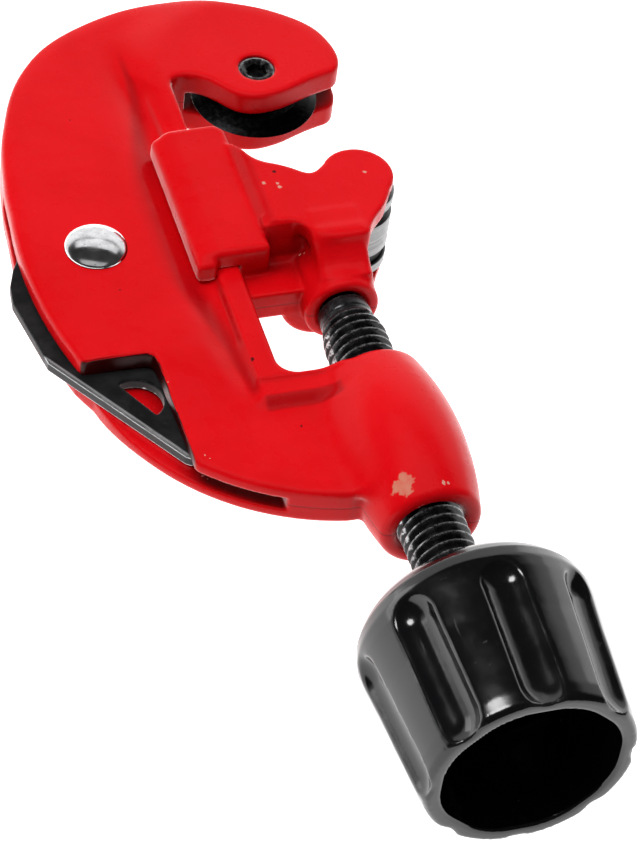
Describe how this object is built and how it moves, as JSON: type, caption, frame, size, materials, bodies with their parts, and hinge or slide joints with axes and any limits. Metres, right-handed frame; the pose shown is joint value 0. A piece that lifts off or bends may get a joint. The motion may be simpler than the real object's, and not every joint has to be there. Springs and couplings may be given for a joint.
{
  "type": "pipe cutter",
  "caption": "Screw-feed pipe cutter: cast C frame, cutter wheel in the nose, sliding carriage with grooved rollers, fluted hollow knob and a folding reamer blade in the back.",
  "frame": {"origin": "axis of a 15 mm tube touching the cutter wheel, halfway through the tool's thickness", "axes": "+Z along the tube, +Y from the knob to the nose, the frame's spine on the -X side"},
  "size_m": [0.0641, 0.1538, 0.0338],
  "materials": {
    "red_paint": "thick glossy enamel over die casting",
    "wheel_steel": "dark hardened tool steel, ground",
    "black_oxide": "black oxide, oiled",
    "roller_steel": "turned steel, bright bands with blackened grooves",
    "pin_steel": "drawn steel",
    "clip_steel": "spring steel",
    "knob_plastic": "moulded black plastic, semi-gloss",
    "blade_black": "black finish with a bright ground edge",
    "rivet_chrome": "bright plated"
  },
  "bodies": {
    "frame": {"body_frame": "red_paint", "wheel_screw": "black_oxide", "reamer_rivet": "rivet_chrome"},
    "wheel": {"cutter_wheel": "wheel_steel"},
    "slide": {"carriage": "red_paint", "roller_pin_left": "pin_steel", "roller_pin_right": "pin_steel"},
    "left_roller": {"roller_left": "roller_steel"},
    "right_roller": {"roller_right": "roller_steel"},
    "screw": {"feed_screw": "black_oxide", "screw_retaining_clip": "clip_steel", "knob": "knob_plastic"},
    "reamer": {"reamer_blade": "blade_black"}
  },
  "joints": [
    {"name": "slide_feed", "type": "slide", "parent": "frame", "child": "slide", "axis": [0, 1, 0], "range_m": [-0.014, 0.011]},
    {"name": "screw_turn", "type": "hinge", "parent": "slide", "child": "screw", "pos_m": [0, -0.027, 0], "axis": [0, 1, 0], "range_deg": [-3176, 2496]},
    {"name": "wheel_spin", "type": "hinge", "parent": "frame", "child": "wheel", "pos_m": [0, 0.01725, 0], "axis": [0, 0, 1], "continuous": true},
    {"name": "roller_left_spin", "type": "hinge", "parent": "slide", "child": "left_roller", "pos_m": [-0.00695, -0.0122, 0], "axis": [0, 0, 1], "continuous": true},
    {"name": "roller_right_spin", "type": "hinge", "parent": "slide", "child": "right_roller", "pos_m": [0.00695, -0.0122, 0], "axis": [0, 0, 1], "continuous": true},
    {"name": "reamer_swing", "type": "hinge", "parent": "frame", "child": "reamer", "pos_m": [-0.0337, -0.0155, 0], "axis": [0, 0, 1], "range_deg": [-95, 0]}
  ],
  "couplings": [
    {"joint": "screw_turn", "follows": "slide_feed", "rad_per_m": 3957.9}
  ]
}
